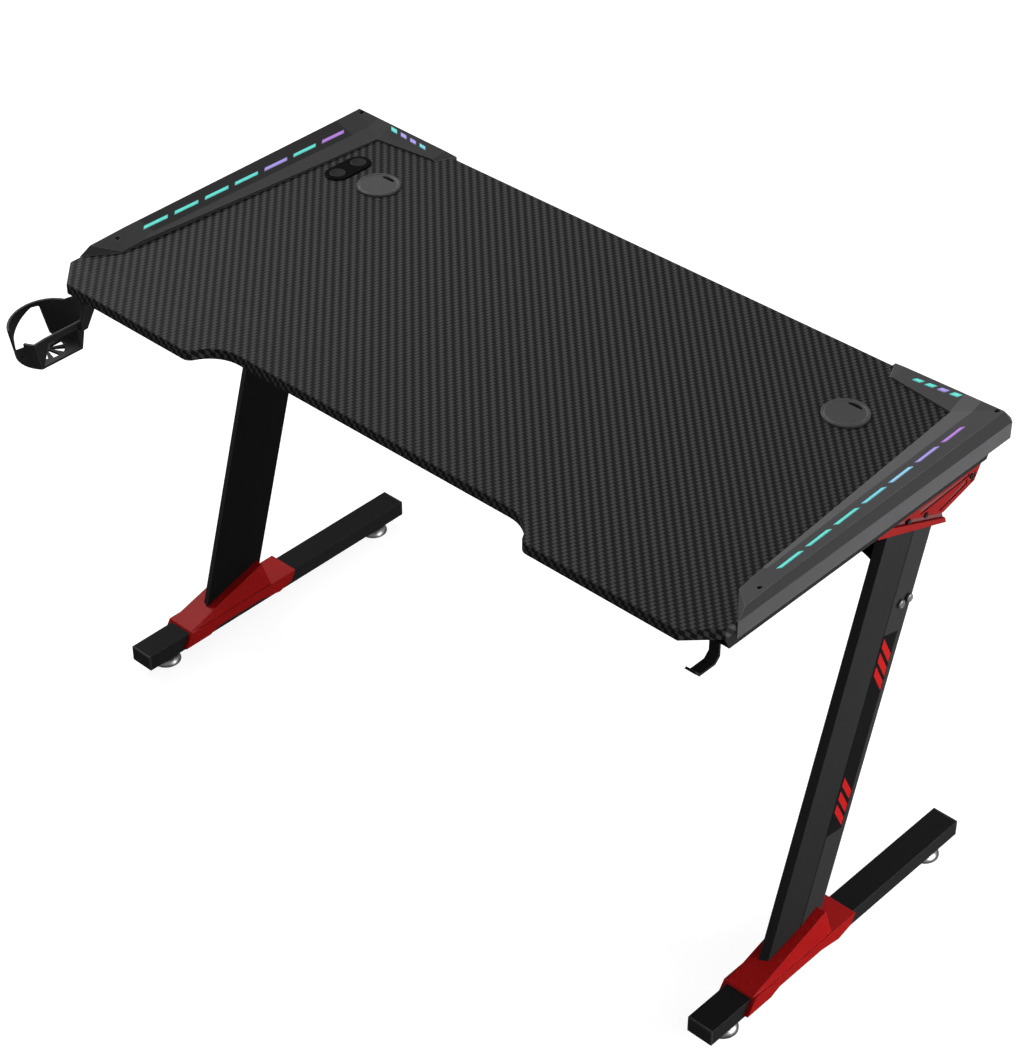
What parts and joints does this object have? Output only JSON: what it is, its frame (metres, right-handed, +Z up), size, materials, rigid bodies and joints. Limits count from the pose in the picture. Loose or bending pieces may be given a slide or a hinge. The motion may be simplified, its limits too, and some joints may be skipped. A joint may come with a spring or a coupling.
{
  "type": "gaming desk",
  "caption": "Gaming desk with a black carbon-weave top, lit corner trims, leaning Z-shaped steel legs, red foot covers, cup holder and headphone hook.",
  "frame": {"origin": "centre of the footprint's bounding box, cup holder included, at floor level", "axes": "+X to the user's right along the desk, +Y from the user to the rear edge, +Z up"},
  "size_m": [1.2282, 0.645, 0.748],
  "materials": {
    "board_film": "fibreboard under a black carbon-weave film, satin",
    "trim_plastic": "moulded black plastic with a fine grain",
    "light_lens": "milky diffuser lit from below",
    "circuit_board": "green solder mask",
    "grommet_plastic": "moulded dark grey plastic",
    "gloss_plate": "polished black plastic",
    "button_plastic": "satin dark grey plastic",
    "zinc_steel": "blackened zinc-plated steel",
    "chrome_steel": "polished chrome plating",
    "red_plastic": "moulded red plastic with a fine grain",
    "red_steel": "red powder coat",
    "cap_plastic": "moulded black plastic",
    "black_steel": "black powder coat"
  },
  "bodies": {
    "desk": {"control_board": "circuit_board", "control_housing": "gloss_plate", "crossbeam": "black_steel", "cup_holder": "cap_plastic", "desktop": "board_film", "headphone_hook": "black_steel", "holder_screws": "zinc_steel", "hook_screw": "zinc_steel", "left_beam_bolts": "zinc_steel", "left_bracket_bolts": "zinc_steel", "left_edge_trim": "trim_plastic", "left_foot_cover": "red_plastic", "left_foot_end_caps": "cap_plastic", "left_foot_tube": "black_steel", "left_glide_nuts": "zinc_steel", "left_grommet_sleeve": "grommet_plastic", "left_led_strips": "circuit_board", "left_leg_column": "black_steel", "left_light_lenses": "light_lens", "left_rail_screws": "zinc_steel", "left_side_rail": "black_steel", "left_top_bracket": "red_steel", "left_trim_screws": "zinc_steel", "right_beam_bolts": "zinc_steel", "right_bracket_bolts": "zinc_steel", "right_edge_trim": "trim_plastic", "right_foot_cover": "red_plastic", "right_foot_end_caps": "cap_plastic", "right_foot_tube": "black_steel", "right_glide_nuts": "zinc_steel", "right_grommet_sleeve": "grommet_plastic", "right_led_strips": "circuit_board", "right_leg_column": "black_steel", "right_light_lenses": "light_lens", "right_rail_screws": "zinc_steel", "right_side_rail": "black_steel", "right_top_bracket": "red_steel", "right_trim_screws": "zinc_steel"},
    "left_grommet_cap_body": {"left_grommet_cap": "grommet_plastic"},
    "right_grommet_cap_body": {"right_grommet_cap": "grommet_plastic"},
    "control_button_front_body": {"control_button_front": "button_plastic"},
    "control_button_rear_body": {"control_button_rear": "button_plastic"},
    "left_front_glide_body": {"left_front_glide": "chrome_steel"},
    "left_rear_glide_body": {"left_rear_glide": "chrome_steel"},
    "right_front_glide_body": {"right_front_glide": "chrome_steel"},
    "right_rear_glide_body": {"right_rear_glide": "chrome_steel"}
  },
  "joints": [
    {"name": "left_cap_turn", "type": "hinge", "parent": "desk", "child": "left_grommet_cap_body", "pos_m": [-0.36894, 0.18448, 0.728], "axis": [0, 0, 1], "continuous": true},
    {"name": "right_cap_turn", "type": "hinge", "parent": "desk", "child": "right_grommet_cap_body", "pos_m": [0.45306, 0.18448, 0.728], "axis": [0, 0, 1], "continuous": true},
    {"name": "front_button_press", "type": "slide", "parent": "desk", "child": "control_button_front_body", "axis": [0, 0, -1], "range_m": [0, 0.0015], "stiffness_N_per_m": 400},
    {"name": "rear_button_press", "type": "slide", "parent": "desk", "child": "control_button_rear_body", "axis": [0, 0, -1], "range_m": [0, 0.0015], "stiffness_N_per_m": 400},
    {"name": "left_front_glide_level", "type": "slide", "parent": "desk", "child": "left_front_glide_body", "axis": [0, 0, -1], "range_m": [0, 0.012]},
    {"name": "left_rear_glide_level", "type": "slide", "parent": "desk", "child": "left_rear_glide_body", "axis": [0, 0, -1], "range_m": [0, 0.012]},
    {"name": "right_front_glide_level", "type": "slide", "parent": "desk", "child": "right_front_glide_body", "axis": [0, 0, -1], "range_m": [0, 0.012]},
    {"name": "right_rear_glide_level", "type": "slide", "parent": "desk", "child": "right_rear_glide_body", "axis": [0, 0, -1], "range_m": [0, 0.012]}
  ]
}
